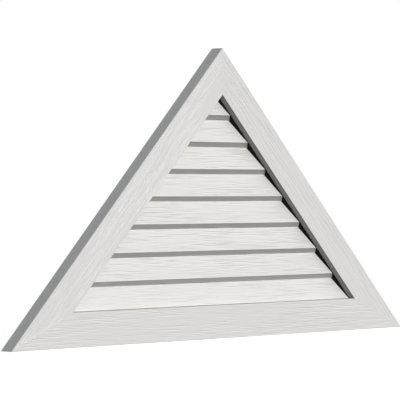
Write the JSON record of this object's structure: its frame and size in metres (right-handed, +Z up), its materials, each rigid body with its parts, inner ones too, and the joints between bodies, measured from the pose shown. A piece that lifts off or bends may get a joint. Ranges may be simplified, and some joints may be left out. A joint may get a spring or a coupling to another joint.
{
  "type": "gable vent",
  "caption": "Triangular louvered gable vent: mitred flat board frame around sloping slats, with an insect screen behind.",
  "frame": {"origin": "middle of the underside of the frame, half way through its depth", "axes": "+X along the base, +Y from the front face towards the wall, +Z up to the apex"},
  "size_m": [1.56, 0.0396, 0.78],
  "materials": {
    "white_board": "matt white, embossed wood grain",
    "white_slat": "matt white, embossed wood grain",
    "black_strip": "matt black",
    "screen_wire": "black coated wire mesh",
    "screw_steel": "zinc plated",
    "biscuit_wood": "raw compressed beech"
  },
  "bodies": {
    "root": {"left_rake_board": "white_board", "right_rake_board": "white_board", "bottom_rail": "white_board", "slat_1": "white_slat", "slat_2": "white_slat", "slat_3": "white_slat", "slat_4": "white_slat", "slat_5": "white_slat", "slat_6": "white_slat", "slat_7": "white_slat", "slat_8": "white_slat", "left_stringer": "black_strip", "right_stringer": "black_strip", "sill_cleat": "black_strip", "insect_screen": "screen_wire", "stringer_screws": "screw_steel", "slat_screws": "screw_steel", "apex_biscuit": "biscuit_wood", "left_biscuit": "biscuit_wood", "right_biscuit": "biscuit_wood"}
  },
  "joints": []
}
